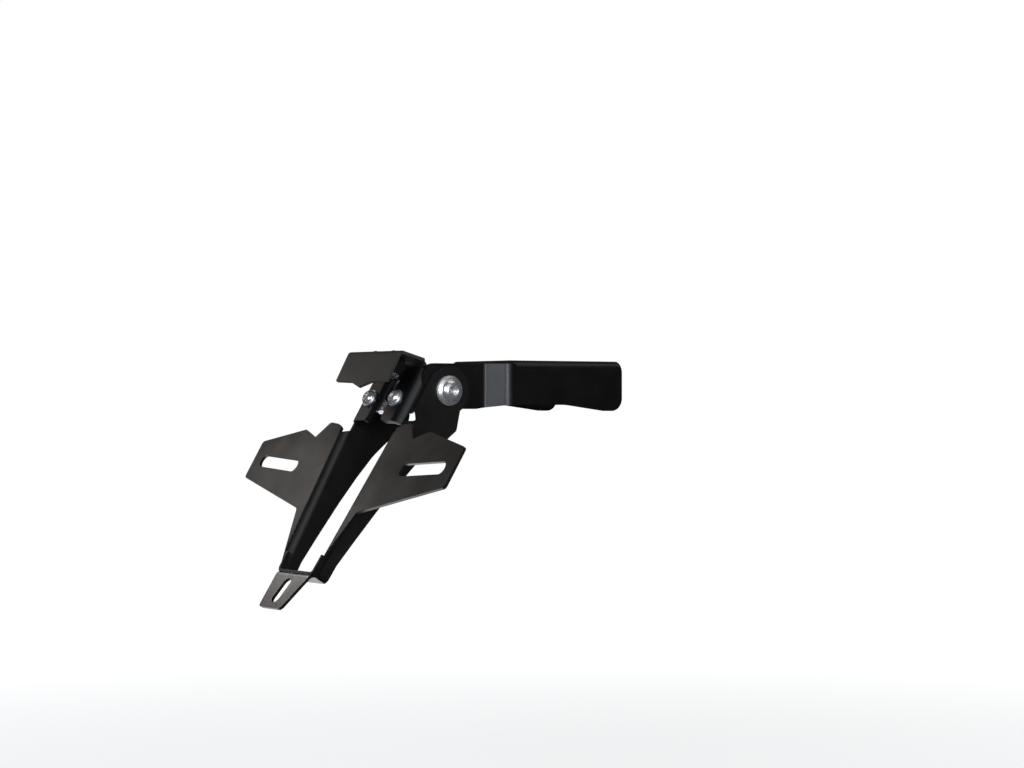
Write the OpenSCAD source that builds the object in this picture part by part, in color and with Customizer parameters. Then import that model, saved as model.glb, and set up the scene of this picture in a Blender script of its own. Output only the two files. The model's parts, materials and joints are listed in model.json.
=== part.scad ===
// Tail tidy: a folded steel bracket that carries a tilting plate hanger and a hooded lamp.
// Millimetres. X is to the right, Y is forward, Z is up. The origin is the middle of the mounting
// holes, on the upper face of the bracket's top plate.

/* [Main bracket] */
// Thickness of the bracket's steel sheet
bracket_t = 3; // [2.5:0.5:4]
// Width over the outer faces of the side plates
bracket_w = 60; // [56:1:70]
// Length of the top plate
top_len = 64; // [60:1:72]
// Height of the side plates below the top plate's upper face, at the front
side_drop = 25.4; // [24:0.1:30]
// Height of the narrow arms that reach back to the pivot
arm_h = 22.5; // [21:0.5:26]
// Mounting hole spacing across the bracket
mount_dx = 36; // [30:1:38]
// Mounting hole spacing along the bracket
mount_dy = 40; // [34:1:42]
// Mounting hole diameter
mount_d = 6.5; // [6:0.1:7]
// Diameter of the wiring hole in the top plate
wire_d = 14; // [8:1:16]

/* [Pivot] */
// Distance from the mounting centre back to the pivot
pivot_back = 68; // [66:1:76]
// Distance from the mounting face down to the pivot
pivot_down = 15.3; // [14.5:0.1:17]
// Diameter of the pivot bolts
pivot_d = 6; // [5:1:6]
// Radial running clearance of the hanger's ears on the bolts
pivot_gap = 0.05; // [0.03:0.01:0.08]
// Lean of the plate from the vertical, in degrees, as set
lean = 31; // [25:1:36]

/* [Plate hanger] */
// Thickness of the hanger's steel sheet
hanger_t = 1.5; // [1.5:0.1:2]
// Width over the tips of the wings
wing_span = 190; // [180:1:210]
// Width over the outer faces of the two flanges at the pivot
flange_w = 47; // [47:0.5:50]
// Distance of the wings' rear face behind the plate frame's origin, at the bend
wing_back = 14.3; // [14:0.1:15.5]
// Sweep of the wings backwards from the bend, in degrees
wing_sweep = 1.2; // [0:0.1:2]
// Height of the wing tips
tip_h = 21.5; // [18:0.5:24]
// Height from the plate frame's origin down to the bottom shelf
shelf_drop = 111.4; // [108:0.2:120]
// Length of the wing slots, end to end
slot_len = 38; // [30:1:42]
// Width of the wing slots
slot_w = 6.8; // [6.4:0.1:7]
// Distance between the middles of the two wing slots
slot_span = 136; // [130:1:140]
// Length of the bottom tab
tab_len = 22; // [20:0.2:26]
// Length of the tab's slot
tab_slot_len = 14.5; // [10:0.5:15]
// Width of the tab's slot
tab_slot_w = 6.4; // [5:0.1:6.8]

/* [Lamp and hood] */
// Width of the lamp hood
hood_w = 48; // [46:1:52]
// Thickness of the hood sheet
hood_t = 1.6; // [1.5:0.1:1.8]
// Depth of the hood's rear face at its sides
hood_face = 16.5; // [15:0.5:18]
// How far the point in the middle of the rear face reaches below its sides
hood_point = 3.4; // [2:0.2:5]
// Width of the lamp housing
lamp_w = 28; // [26:1:30]
// Spacing of the two lamp bolts
lamp_bolt_span = 24; // [22:1:26]
// Diameter of the lamp bolts
lamp_bolt_d = 4; // [4:1:5]

/* [Hidden] */
$fn = 48;

eps = 0.01;
// Where two folds of one sheet overlap, one lies this far inside the other.
lap_inset = 0.02;
nylon_t = 0.5;
washer_t = 1;
outer_washer_t = 1.2;
washer_gap = 0.1;
cut = 1;
pivot_shank_past = 7;
pivot_head_r = 5.4;
pivot_head_h = 2.7;
pivot_flange_r = 7;
pivot_flange_t = 0.9;
pivot_socket = 4;
pivot_nut_flats = 10;
outer_washer_r = 7.4;
friction_washer_r = 8;
pivot_washer_r = 6;
nut_flange_t = 1.2;
nut_hex_share = 0.75;
nut_collar_inset = 0.4;
nut_thread_gap = 0.04;
dome_top_angle = 60;
dome_flat_share = 0.12;
socket_share = 0.45;

// Across the bracket, from the ears inwards: ear, friction washer, arm, washer, nut.
ear_out = flange_w / 2;
ear_in = ear_out - hanger_t;
arm_out = ear_in - nylon_t;
arm_in = arm_out - bracket_t;
arm_mid = arm_out - bracket_t / 2;
side_mid = bracket_w / 2 - bracket_t / 2;

// Along the bracket, measured from the pivot.
front_y = pivot_back + top_len / 2 + 2;
top_y0 = pivot_back - top_len / 2;
jog_y = 23.5;
jog_run = side_mid - arm_mid;
arm_top = pivot_down - 1.8;
arm_bottom = arm_top - arm_h;
side_bottom = pivot_down - side_drop;
arm_end_r = 8;
arm_tail = 14.4;
arm_step = 2;
arm_step_run = 6;
arm_bend = 5;
bend_r = 3;
bend_low = pivot_down - bracket_t - bend_r - 0.6;
arm_lap = 6;
side_dip_run = 10;
side_dip_r = 20;
side_front_r = 6.5;

// The plate's own frame leans back with the plate: u across, v up along it, w forward through it.
// The pivot stands at these places in it.
pivot_w = 3.5;
pivot_v = 1.8;

// The hanger in the plate's frame.
ear_r = 12;
ear_nose_w = 17.6;
ear_nose_v = -12.8;
ear_neck_w = 14.2;
ear_neck_v = -2.9;
ear_foot_w = 15.2;
ear_foot_v = -18.9;
crease_v = -33;
crease_front_w = 9.2;
crease_step = 0.2;
crease_lap = 0.3;
ear_rear_w = -10.6;
ear_rear_top_v = -24;
ear_notch_w = -5.2;
ear_notch_low_v = -20.5;
ear_notch_top_v = -19.5;
ear_back_v = -15.5;
flange_toe = 5;
flange_knee_w = 7.4;
flange_knee_v = -38;
flange_mid_w = 0.3;
flange_mid_v = -66;
flange_low_w = -3;
flange_low_v = -88;
flange_knee_r = 20;
flange_sweep_r = 60;
fold_lap = 0.5;
wing_rear = -wing_back;
wing_front = wing_rear + hanger_t;
bend_in = 2.4;
bend_mid = bend_in + hanger_t / 2;
back_w = wing_front + bend_in - fold_lap;
wing_tip_u = wing_span / 2;
tip_top_v = -40.2;
tip_low_v = tip_top_v - tip_h;
bend_top_v = -30.1;
bend_top_u = 26;
bend_cut_v = bend_top_v - 2.5;
hump_v = -28.2;
hump_drop = 0.8;
hump_in_u = 30;
hump_out_u = 38.2;
wing_draft = 0.4;
notch_r = 0.8;
corner_r = 2;
wide_corner_r = 3;
sweep_room = 4;
notch_u = 45.9;
notch_v = -36.3;
peak_u = 58.2;
peak_v = -32.1;
strip_top_u = 28.6;
strip_top_v = -76.8;
strip_mid_u = 19.4;
strip_mid_v = -100.5;
strip_low_u = 16.2;
slot_mid_v = -52.4;
slot_tilt = 3;
shelf_v = -shelf_drop;
shelf_front_w = -4.8;
shelf_zone_h = 10;
shelf_bend = 2.2;
tab_top_w = wing_rear - 0.1 + hanger_t / 2;
tab_lean = 9.5;
tab_top_half = 15.6;
tab_low_half = 10.2;
tab_slot_from_top = 11.4;
tab_corner_r = 3;
shelf_mid_v = shelf_v + hanger_t / 2;
shelf_rear_w = tab_top_w - hanger_t / 2;
flange_end_v = shelf_v + shelf_zone_h;

// The lamp group in the same frame. The tabs of the arms stand first, and the hood lies before them.
tab_rear = -14.4;
tab_t = bracket_t;
tab_front = tab_rear + tab_t;
tab_top_v = 4.8;
tab_root_low_v = -15.5;
tongue_low_v = -26;
tongue_neck_v = -22;
tongue_front_w = -10.3;
tongue_in_u = 6.5;
tongue_r = 3;
tongue_top_r = 1.5;
root_bend = 3.5;
root_rear_w = -7.5;
root_front_w = pivot_w - 2;
root_step_w = 4;
root_step_v = 5;
hood_flange_front = tab_front + hood_t;
hood_flange_mid = tab_front + hood_t / 2;
hood_flange_in = 7;
hood_flange_out = 16.8;
hood_flange_low_v = -18;
hood_rear_w = -30.2;
hood_top_rear_v = 3.6;
hood_slope = 15;
hood_top_front_v = hood_top_rear_v + (hood_flange_mid - hood_rear_w) * tan(hood_slope);
hood_face_lean = 3;
hood_face_reach = 24;
hood_bend = 1.6;
hood_low_v = hood_top_rear_v - hood_face + 0.3;
hood_taper_w = -17;
hood_tip_u = hood_w * 0.2;
lamp_bolt_v = -13.5;
lamp_bolt_u = lamp_bolt_span / 2;
lamp_bolt_gap = 0.15;
hood_tip_rise = 0.5;
hood_flange_chamfer_w = tab_front - 0.4;
hood_clip = 4;
hood_face_zone = 6;
hood_edge_gap = 2;
lamp_washer_r = lamp_bolt_d + 0.6;
lamp_bolt_past = 6;
lamp_head_h = 2.4;
lamp_socket = 2.5;
lamp_nut_flats = 7;
lamp_nut_h = 5;
lamp_nut_flange_r = 4;
housing_rear_w = -28.7;
housing_front_w = -20;
housing_low_v = -3.6;
housing_wall = 1.4;
housing_round = 1.2;
housing_hood_gap = 0.1;
board_v = -0.4;
board_t = 1;
board_gap = 0.2;
chip_w = 3;
chip_t = 0.8;
chip_pitch = 8;
lens_t = 1.8;
rib_w = 1.6;
rib_gap = 0.3;
screw_u = 8.5;
screw_d = 3;
screw_w = -24;
screw_len = 4.4;
screw_hole_gap = 0.2;
screw_thread_gap = 0.04;
screw_head_r = 2.8;
screw_head_h = 1.6;
screw_socket = 2;
post_r = 3;
post_h = 8;

// Places points round an arc.
function arc(c, r, a0, a1) =
    let (n = max(2, ceil(abs(a1 - a0) / 9)))
    [for (i = [0:n]) c + r * [cos(a0 + (a1 - a0) * i / n), sin(a0 + (a1 - a0) * i / n)]];

// Unit vector of a 2D direction.
function unit(v) = v / norm(v);

// Points of one corner b between a and c, rounded with radius r.
function corner(a, b, c, r) =
    r <= 0 ? [b] :
    let (
        p = unit(a - b),
        q = unit(c - b),
        half = acos(max(-1, min(1, p * q))) / 2
    )
    half > 89.5 ? [b] :
    let (
        o = b + unit(p + q) * r / sin(half),
        s = b + p * r / tan(half) - o,
        e = b + q * r / tan(half) - o,
        a0 = atan2(s[1], s[0]),
        turn = atan2(s[0] * e[1] - s[1] * e[0], s * e)
    )
    arc(o, r, a0, a0 + turn);

// A closed outline from [x, y, corner radius] triples.
function rounded(pts) =
    let (n = len(pts))
    [for (i = [0:n - 1])
        let (
            a = pts[(i + n - 1) % n],
            b = pts[i],
            c = pts[(i + 1) % n]
        )
        each corner([a[0], a[1]], [b[0], b[1]], [c[0], c[1]], b[2])];

// An open line from [x, y, corner radius] triples.
function line_path(pts) =
    let (n = len(pts))
    [for (i = [0:n - 1])
        let (b = pts[i])
        each (i == 0 || i == n - 1)
            ? [[b[0], b[1]]]
            : corner([pts[i - 1][0], pts[i - 1][1]], [b[0], b[1]], [pts[i + 1][0], pts[i + 1][1]], b[2])];

// Left-hand normal of an open line at point i.
function side_normal(path, i) =
    let (
        n = len(path),
        d0 = i == 0 ? unit(path[1] - path[0]) : unit(path[i] - path[i - 1]),
        d1 = i == n - 1 ? d0 : unit(path[i + 1] - path[i]),
        m = unit(d0 + d1)
    )
    [-m[1], m[0]] / max(0.2, m * d0);

// Outline of a sheet of thickness t folded along the open line.
function folded(path, t) =
    let (n = len(path))
    concat(
        [for (i = [0:n - 1]) path[i] + side_normal(path, i) * t / 2],
        [for (i = [n - 1:-1:0]) path[i] - side_normal(path, i) * t / 2]
    );

// Distance from the middle to the mid-plane of a flange at height v.
function flange_mid(v) = ear_out - hanger_t / 2 - (crease_v - v) * tan(flange_toe);

// Height of the middle of the hood's top panel at a given distance w.
function hood_top_v(w) = hood_top_rear_v + (w - hood_rear_w) * tan(hood_slope);

// Height of the lamp housing's top at a given distance w, a little below the hood.
function housing_top_v(w) = hood_top_v(w) - hood_t / 2 / cos(hood_slope) - housing_hood_gap;

// Moves from the pivot's frame to the origin on the mounting face.
module at_pivot() {
    translate([0, -pivot_back, -pivot_down]) children();
}

// The plate's own frame: x is u, y is w and z is v.
module in_plate() {
    at_pivot() rotate([-lean, 0, 0]) translate([0, -pivot_w, -pivot_v]) children();
}

// Extrudes an outline drawn in Y and Z from x0 to x1.
module across(x0, x1) {
    translate([x0, 0, 0]) rotate([90, 0, 90]) linear_extrude(x1 - x0) children();
}

// Extrudes an outline drawn in X and Z from y0 to y1.
module along(y0, y1) {
    translate([0, y1, 0]) rotate([90, 0, 0]) linear_extrude(y1 - y0) children();
}

// Extrudes an outline drawn in X and Y from z0 to z1.
module upward(z0, z1) {
    translate([0, 0, z0]) linear_extrude(z1 - z0) children();
}

// A copy and its mirror image on the other side of the bracket.
module both_sides() {
    children();
    mirror([1, 0, 0]) children();
}

// A round bar along X.
module rod_x(r, x0, x1) {
    translate([x0, 0, 0]) rotate([0, 90, 0]) cylinder(r = r, h = x1 - x0);
}

// A round bar along Y.
module rod_y(r, y0, y1) {
    translate([0, y0, 0]) rotate([-90, 0, 0]) cylinder(r = r, h = y1 - y0);
}

// A slot outline with round ends, lying along the first axis.
module slot_2d(length, width) {
    square([length - width, width], center = true);
    for (s = [-1, 1]) translate([s * (length - width) / 2, 0]) circle(d = width);
}

// A flat ring lying on the XY plane.
module ring(r_out, r_in, h) {
    difference() {
        cylinder(r = r_out, h = h);
        translate([0, 0, -cut]) cylinder(r = r_in, h = h + 2 * cut);
    }
}

// A button-head bolt with a hexagon socket: the head's seat is at z = 0, and the shank points down.
module button_bolt(d, shank, head_r, head_h, flange_r, flange_h, socket) {
    difference() {
        union() {
            translate([0, 0, -shank]) cylinder(r = d / 2, h = shank + eps);
            if (flange_h > 0) cylinder(r = flange_r, h = flange_h);
            translate([0, 0, flange_h]) rotate_extrude() polygon(concat(
                [[0, 0], [head_r, 0]],
                [for (a = [10:10:dome_top_angle]) [
                    head_r * (cos(a) + dome_flat_share * (1 - cos(a))),
                    head_h * sin(a) / sin(dome_top_angle)
                ]],
                [[0, head_h]]
            ));
        }
        translate([0, 0, flange_h + head_h - socket * socket_share])
            cylinder(d = socket / cos(30), h = socket, $fn = 6);
    }
}

// A hexagon lock nut with a flange and a collar: the seat is at z = 0, and the collar points up.
module lock_nut(d, flats, h, flange_r) {
    difference() {
        union() {
            cylinder(r = flange_r, h = nut_flange_t);
            cylinder(d = flats / cos(30), h = h * nut_hex_share, $fn = 6);
            cylinder(r = flats / 2 - nut_collar_inset, h = h);
        }
        translate([0, 0, -cut]) cylinder(d = d + nut_thread_gap, h = h + 2 * cut);
    }
}

// Side view of an arm, measured from the pivot in Y and Z, with the lap that joins it to the side plate.
module arm_outline() {
    polygon(rounded([
        [-arm_tail, arm_top, arm_end_r],
        [-arm_tail, arm_bottom, arm_end_r],
        [jog_y - arm_step_run, arm_bottom, arm_step_run],
        [jog_y + jog_run, arm_bottom + arm_step, arm_step_run],
        [top_y0 + arm_lap, arm_bottom + arm_step, 0],
        [top_y0 + arm_lap, bend_low, 0],
        [top_y0, bend_low, 0],
        [top_y0, arm_top, 0]
    ]));
}

// Side view of a side plate: its lower edge dips towards the rounded front corner.
module side_outline() {
    polygon(rounded([
        [top_y0, arm_bottom + arm_step, 0],
        [pivot_back, arm_bottom + arm_step, side_dip_r],
        [front_y - side_dip_run, side_bottom, side_dip_run],
        [front_y, side_bottom, side_front_r],
        [front_y, pivot_down + cut, 0],
        [top_y0, pivot_down + cut, 0]
    ]));
}

// Plan view of one arm, its outward jog and the start of the side plate.
module arm_plan() {
    polygon(folded(line_path([
        [arm_mid, -arm_tail - cut, 0],
        [arm_mid, jog_y, arm_bend],
        [side_mid, jog_y + jog_run, arm_bend],
        [side_mid, top_y0 + arm_lap, 0]
    ]), bracket_t));
}

// Section of the top plate with both side plates folded down.
module channel_section() {
    polygon(folded(line_path([
        [side_mid, side_bottom - cut, 0],
        [side_mid, pivot_down - bracket_t / 2, bend_r + bracket_t / 2],
        [-side_mid, pivot_down - bracket_t / 2, bend_r + bracket_t / 2],
        [-side_mid, side_bottom - cut, 0]
    ]), bracket_t));
}

// Lamp tab at the end of one arm: the sheet turns inwards there, with a tongue left below the bolt.
module lamp_tab() {
    tab_mid = (tab_rear + tab_front) / 2;
    difference() {
        intersection() {
            upward(tongue_low_v - cut, tab_top_v + cut) polygon(folded(line_path([
                [tongue_in_u, tab_mid, 0],
                [arm_mid, tab_mid, root_bend],
                [arm_mid, pivot_w, 0]
            ]), tab_t - 2 * lap_inset));
            across(0, bracket_w) polygon(rounded([
                [tab_rear - cut, tongue_low_v - cut, 0],
                [tab_rear - cut, tab_top_v, 0],
                [root_front_w - root_step_w, tab_top_v, 0],
                [root_front_w, tab_root_low_v + root_step_v, wide_corner_r],
                [root_rear_w, tab_root_low_v, wide_corner_r],
                [tongue_front_w, tongue_neck_v, wide_corner_r],
                [tongue_front_w, tongue_low_v - cut, 0]
            ]));
            along(tab_rear - cut, pivot_w) polygon(rounded([
                [tongue_in_u, tongue_low_v, tongue_r],
                [bracket_w / 2, tongue_low_v, 0],
                [bracket_w / 2, tab_top_v, 0],
                [tongue_in_u, tab_top_v, tongue_top_r]
            ]));
        }
        translate([lamp_bolt_u, 0, lamp_bolt_v])
            rod_y(lamp_bolt_d / 2 + lamp_bolt_gap, tab_rear - cut, tab_front + cut);
    }
}

module main_bracket() {
    color([0.07, 0.07, 0.08]) difference() {
        union() {
            at_pivot() both_sides() intersection() {
                across(0, bracket_w) arm_outline();
                upward(side_bottom - cut, arm_top + cut) arm_plan();
            }
            at_pivot() intersection() {
                across(-bracket_w, bracket_w) side_outline();
                along(top_y0, front_y) channel_section();
            }
            in_plate() both_sides() lamp_tab();
        }
        for (x = [-1, 1], y = [-1, 1])
            translate([x * mount_dx / 2, y * mount_dy / 2, -bracket_t - cut])
                cylinder(d = mount_d, h = bracket_t + 2 * cut);
        translate([0, 0, -bracket_t - cut]) cylinder(d = wire_d, h = bracket_t + 2 * cut);
        at_pivot() rod_x(pivot_d / 2 + washer_gap, -bracket_w, bracket_w);
    }
}

// Outline of a wing, with the hump beside the bend, the notch and the strip that runs down the bend.
module wing_outline() {
    polygon(rounded([
        [0, bend_top_v, 0],
        [bend_top_u, bend_top_v, 0],
        [hump_in_u, hump_v, corner_r],
        [hump_out_u, hump_v + hump_drop, wide_corner_r],
        [notch_u, notch_v, notch_r],
        [peak_u, peak_v, corner_r],
        [wing_tip_u, tip_top_v, corner_r],
        [wing_tip_u - wing_draft, tip_low_v, corner_r],
        [strip_top_u, strip_top_v, wide_corner_r],
        [strip_mid_u, strip_mid_v, 0],
        [strip_low_u, shelf_v, 0],
        [0, shelf_v, 0]
    ]));
}

// A wing and its flange as one folded section, toed in below the crease.
module wing_and_flange() {
    translate([ear_out - hanger_t / 2, 0, crease_v])
        rotate([0, flange_toe, 0])
        upward(shelf_v - crease_v - shelf_zone_h, shelf_zone_h)
        polygon(folded(line_path([
            [wing_span, wing_rear + hanger_t / 2 - wing_span * tan(wing_sweep), 0],
            [0, wing_rear + hanger_t / 2, bend_mid],
            [0, ear_nose_w, 0]
        ]), hanger_t));
}

// The flat ear round the pivot, down to the crease.
module ear() {
    foot = [ear_foot_w, ear_foot_v];
    nose = [ear_nose_w, ear_nose_v];
    neck = [ear_neck_w, ear_neck_v];
    back = [pivot_w - ear_r, ear_back_v];
    notch_top = [ear_notch_w, ear_notch_top_v];
    notch_low = [ear_notch_w, ear_notch_low_v];
    rear = [ear_rear_w, ear_rear_top_v];
    across(ear_in, ear_out) union() {
        translate([pivot_w, pivot_v]) circle(r = ear_r, $fn = 96);
        polygon(concat(
            [[pivot_w - ear_r, pivot_v]],
            corner([pivot_w - ear_r, pivot_v], back, notch_top, wide_corner_r),
            corner(back, notch_top, notch_low, notch_r),
            corner(notch_top, notch_low, rear, notch_r),
            corner(notch_low, rear, [ear_rear_w, crease_v], corner_r),
            [
                [ear_rear_w, crease_v - fold_lap],
                [crease_front_w - crease_step, crease_v - fold_lap]
            ],
            corner([crease_front_w, crease_v], foot, nose, wide_corner_r),
            corner(foot, nose, neck, corner_r),
            [neck, [pivot_w, pivot_v + ear_r / 2]]
        ));
    }
}

// Side view of the flange below the crease: its free edge sweeps back towards the wing.
module flange_outline() {
    polygon(rounded([
        [back_w, crease_v + crease_lap, 0],
        [crease_front_w, crease_v + crease_lap, 0],
        [flange_knee_w, flange_knee_v, flange_knee_r],
        [flange_mid_w, flange_mid_v, flange_sweep_r],
        [flange_low_w, flange_low_v, flange_sweep_r],
        [shelf_front_w, flange_end_v, 0],
        [back_w, flange_end_v, 0]
    ]));
}

// The shelf that joins the two flanges at the bottom.
module shelf() {
    lap_v = flange_end_v + cut;
    along(shelf_rear_w, shelf_front_w) polygon(folded(line_path([
        [flange_mid(lap_v), lap_v, 0],
        [flange_mid(shelf_mid_v), shelf_mid_v, shelf_bend],
        [-flange_mid(shelf_mid_v), shelf_mid_v, shelf_bend],
        [-flange_mid(lap_v), lap_v, 0]
    ]), hanger_t - 2 * lap_inset));
}

// The tab that turns down from the shelf's rear edge.
module tab() {
    tab_low_v = shelf_mid_v - tab_len * cos(tab_lean);
    difference() {
        intersection() {
            across(-tab_top_half, tab_top_half) polygon(folded(line_path([
                [shelf_front_w - cut, shelf_mid_v, 0],
                [tab_top_w, shelf_mid_v, bend_mid],
                [tab_top_w - tab_len * sin(tab_lean), tab_low_v, 0]
            ]), hanger_t));
            along(tab_top_w - tab_len, 0) polygon(rounded([
                [tab_top_half, shelf_v + shelf_zone_h, 0],
                [tab_top_half, shelf_v - cut, 0],
                [tab_low_half, tab_low_v, tab_corner_r],
                [-tab_low_half, tab_low_v, tab_corner_r],
                [-tab_top_half, shelf_v - cut, 0],
                [-tab_top_half, shelf_v + shelf_zone_h, 0]
            ]));
        }
        translate([0, tab_top_w, shelf_mid_v]) rotate([-tab_lean, 0, 0])
            translate([0, 0, -tab_slot_from_top])
            along(-hanger_t, hanger_t) rotate(90) slot_2d(tab_slot_len, tab_slot_w);
    }
}

module plate_hanger() {
    color([0.1, 0.1, 0.11]) in_plate() {
        both_sides() difference() {
            union() {
                ear();
                intersection() {
                    wing_and_flange();
                    along(wing_rear - sweep_room, wing_front + bend_in) wing_outline();
                }
                intersection() {
                    wing_and_flange();
                    across(0, wing_span) flange_outline();
                }
            }
            across(0, bend_top_u) polygon([
                [wing_rear - cut, bend_cut_v - cut],
                [back_w, bend_top_v],
                [back_w, bend_top_v + cut],
                [wing_rear - cut, bend_top_v + cut]
            ]);
            translate([0, pivot_w, pivot_v]) rod_x(pivot_d / 2 + pivot_gap, 0, wing_span);
            translate([slot_span / 2, 0, slot_mid_v]) along(wing_rear - sweep_room, wing_front + cut)
                rotate(slot_tilt) slot_2d(slot_len, slot_w);
        }
        shelf();
        tab();
    }
}

// Parts on the pivot's axis are drawn for the right side, with their seats named from outside in.
module pivot_bolt() {
    grip = outer_washer_t + hanger_t + nylon_t + bracket_t + washer_t;
    color([0.8, 0.82, 0.84]) at_pivot() translate([ear_out + outer_washer_t, 0, 0]) rotate([0, 90, 0])
        button_bolt(
            pivot_d, grip + pivot_shank_past, pivot_head_r, pivot_head_h,
            pivot_flange_r, pivot_flange_t, pivot_socket
        );
}

module outer_washer() {
    color([0.3, 0.31, 0.32]) at_pivot() translate([ear_out, 0, 0]) rotate([0, 90, 0])
        ring(outer_washer_r, pivot_d / 2 + washer_gap, outer_washer_t);
}

module friction_washer() {
    color([0.85, 0.84, 0.8]) at_pivot() translate([arm_out, 0, 0]) rotate([0, 90, 0])
        ring(friction_washer_r, pivot_d / 2 + washer_gap, nylon_t);
}

module pivot_washer() {
    color([0.78, 0.79, 0.8]) at_pivot() translate([arm_in - washer_t, 0, 0]) rotate([0, 90, 0])
        ring(pivot_washer_r, pivot_d / 2 + washer_gap, washer_t);
}

module pivot_nut() {
    color([0.75, 0.76, 0.78]) at_pivot() translate([arm_in - washer_t, 0, 0]) rotate([0, -90, 0])
        lock_nut(pivot_d, pivot_nut_flats, pivot_d, pivot_washer_r);
}

module pivot_bolt_right() { pivot_bolt(); }
module pivot_bolt_left() { mirror([1, 0, 0]) pivot_bolt(); }
module outer_washer_right() { outer_washer(); }
module outer_washer_left() { mirror([1, 0, 0]) outer_washer(); }
module friction_washer_right() { friction_washer(); }
module friction_washer_left() { mirror([1, 0, 0]) friction_washer(); }
module pivot_washer_right() { pivot_washer(); }
module pivot_washer_left() { mirror([1, 0, 0]) pivot_washer(); }
module pivot_nut_right() { pivot_nut(); }
module pivot_nut_left() { mirror([1, 0, 0]) pivot_nut(); }

// Places things on the upper face of the hood's top panel, at the two lamp screws.
module at_lamp_screw(s) {
    translate([s * screw_u, screw_w, hood_top_v(screw_w)])
        rotate([hood_slope, 0, 0])
        translate([0, 0, hood_t / 2])
        children();
}

// Rear view of the hood's face, whose lower edge comes to a point in the middle.
module hood_face_outline() {
    top_v = hood_top_front_v + hood_clip;
    polygon([
        [-hood_w / 2, top_v],
        [-hood_w / 2, hood_low_v],
        [-hood_tip_u, hood_low_v - hood_tip_rise],
        [0, hood_low_v - hood_point],
        [hood_tip_u, hood_low_v - hood_tip_rise],
        [hood_w / 2, hood_low_v],
        [hood_w / 2, top_v]
    ]);
}

// Rear view of the hood's two front flanges and the edge of the panel above them.
module hood_flange_outline() {
    top_v = hood_top_front_v + hood_clip;
    relief_v = hood_top_front_v - hood_bend - cut;
    both_sides_2d() polygon([
        [0, top_v],
        [0, relief_v],
        [hood_flange_in, relief_v],
        [hood_flange_in, hood_flange_low_v],
        [hood_flange_out, hood_flange_low_v],
        [hood_flange_out, top_v]
    ]);
}

// A flat shape and its mirror image.
module both_sides_2d() {
    children();
    mirror([1, 0]) children();
}

// Plan view of the hood: it narrows towards its front flanges.
module hood_plan() {
    polygon([
        [-hood_w / 2, hood_rear_w - hood_clip],
        [hood_w / 2, hood_rear_w - hood_clip],
        [hood_w / 2, hood_taper_w],
        [hood_flange_out, hood_flange_chamfer_w],
        [hood_flange_out, hood_flange_front + cut],
        [-hood_flange_out, hood_flange_front + cut],
        [-hood_flange_out, hood_flange_chamfer_w],
        [-hood_w / 2, hood_taper_w]
    ]);
}

module lamp_hood() {
    color([0.16, 0.16, 0.16]) in_plate() difference() {
        intersection() {
            across(-hood_w / 2, hood_w / 2) polygon(folded(line_path([
                [hood_flange_mid, hood_flange_low_v, 0],
                [hood_flange_mid, hood_top_front_v, hood_bend],
                [hood_rear_w, hood_top_rear_v, hood_bend],
                [hood_rear_w + hood_face_reach * tan(hood_face_lean), hood_top_rear_v - hood_face_reach, 0]
            ]), hood_t));
            upward(hood_flange_low_v - cut, hood_top_front_v + hood_clip) hood_plan();
            union() {
                along(hood_rear_w - hood_clip, hood_rear_w + hood_face_zone + cut) hood_face_outline();
                along(hood_rear_w + hood_face_zone, hood_flange_front + cut) hood_flange_outline();
                upward(hood_top_rear_v - cut, hood_top_front_v + hood_clip) polygon([
                    [-hood_w / 2, hood_rear_w + hood_face_zone],
                    [hood_w / 2, hood_rear_w + hood_face_zone],
                    [hood_w / 2, tab_front - hood_edge_gap],
                    [-hood_w / 2, tab_front - hood_edge_gap]
                ]);
            }
        }
        for (s = [-1, 1])
            translate([s * lamp_bolt_u, 0, lamp_bolt_v])
                rod_y(lamp_bolt_d / 2 + lamp_bolt_gap, tab_front - cut, hood_flange_front + cut);
        for (s = [-1, 1])
            at_lamp_screw(s) translate([0, 0, -hood_t - cut])
                cylinder(d = screw_d + screw_hole_gap, h = hood_t + 2 * cut);
    }
}

// Side view of the lamp housing, its top lying against the hood.
module housing_outline(inset, round_r) {
    polygon(rounded([
        [housing_rear_w + inset, housing_low_v - inset, 0],
        [housing_rear_w + inset, housing_top_v(housing_rear_w + inset) - inset, round_r],
        [housing_front_w - inset, housing_top_v(housing_front_w - inset) - inset, round_r],
        [housing_front_w - inset, housing_low_v - inset, 0]
    ]));
}

module lamp_housing() {
    inner_half = lamp_w / 2 - housing_wall;
    color([0.05, 0.05, 0.06]) in_plate() difference() {
        union() {
            difference() {
                across(-lamp_w / 2, lamp_w / 2) housing_outline(0, housing_round);
                across(-inner_half, inner_half) housing_outline(housing_wall, 0);
            }
            intersection() {
                across(-lamp_w / 2, lamp_w / 2) housing_outline(0, housing_round);
                for (s = [-1, 1])
                    translate([s * screw_u, screw_w, board_v]) upward(0, post_h) circle(r = post_r);
            }
        }
        for (s = [-1, 1])
            at_lamp_screw(s) translate([0, 0, -hood_t - screw_len - screw_hole_gap])
                cylinder(d = screw_d, h = screw_len + cut);
    }
}

// The clear cover under the housing, with two ribs inside that carry the board.
module lamp_lens() {
    rib_u = lamp_w / 2 - housing_wall - rib_w / 2 - rib_gap;
    depth = housing_front_w - housing_rear_w;
    color([0.85, 0.88, 0.9]) in_plate() {
        across(-lamp_w / 2, lamp_w / 2)
            translate([housing_rear_w, housing_low_v - lens_t]) square([depth, lens_t]);
        for (s = [-1, 1])
            across(s * rib_u - rib_w / 2, s * rib_u + rib_w / 2)
                translate([housing_rear_w + housing_wall + rib_gap, housing_low_v - eps])
                square([depth - 2 * (housing_wall + rib_gap), board_v - board_t - housing_low_v + eps]);
    }
}

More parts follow.
